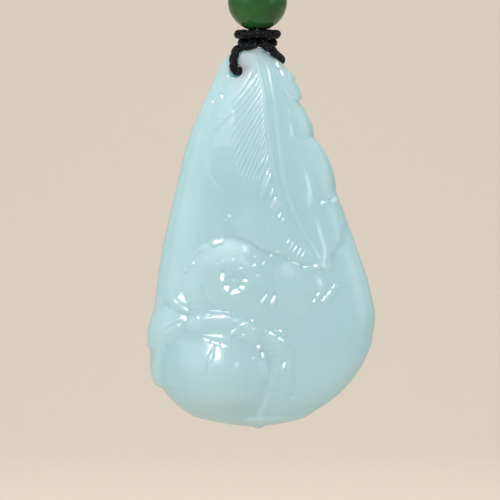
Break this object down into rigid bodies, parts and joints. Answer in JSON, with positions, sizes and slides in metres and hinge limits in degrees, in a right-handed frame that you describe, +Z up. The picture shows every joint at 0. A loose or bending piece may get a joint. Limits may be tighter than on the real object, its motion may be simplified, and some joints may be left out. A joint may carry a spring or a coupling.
{
  "type": "carved jade pendant with a bead and hanging loop",
  "caption": "Drop-shaped pendant of pale carved jade with a leaf and round fruits in relief, tied with black cord under a green bead.",
  "frame": {"origin": "inside top of the hanging loop, where the pendant hangs", "axes": "+Z up along the hanging cord, carved face towards -Y, +X to the right of a viewer who faces the carving"},
  "size_m": [0.0345, 0.0109, 0.0918],
  "materials": {
    "pale_jade": "polished, translucent",
    "green_jade": "polished, slightly translucent",
    "black_cord": "braided, slightly glossy"
  },
  "bodies": {
    "root": {"carved_stone": "pale_jade", "bead": "green_jade", "stone_cord": "black_cord", "neck_wrap": "black_cord", "upper_knot": "black_cord", "hanging_loop": "black_cord"}
  },
  "joints": []
}
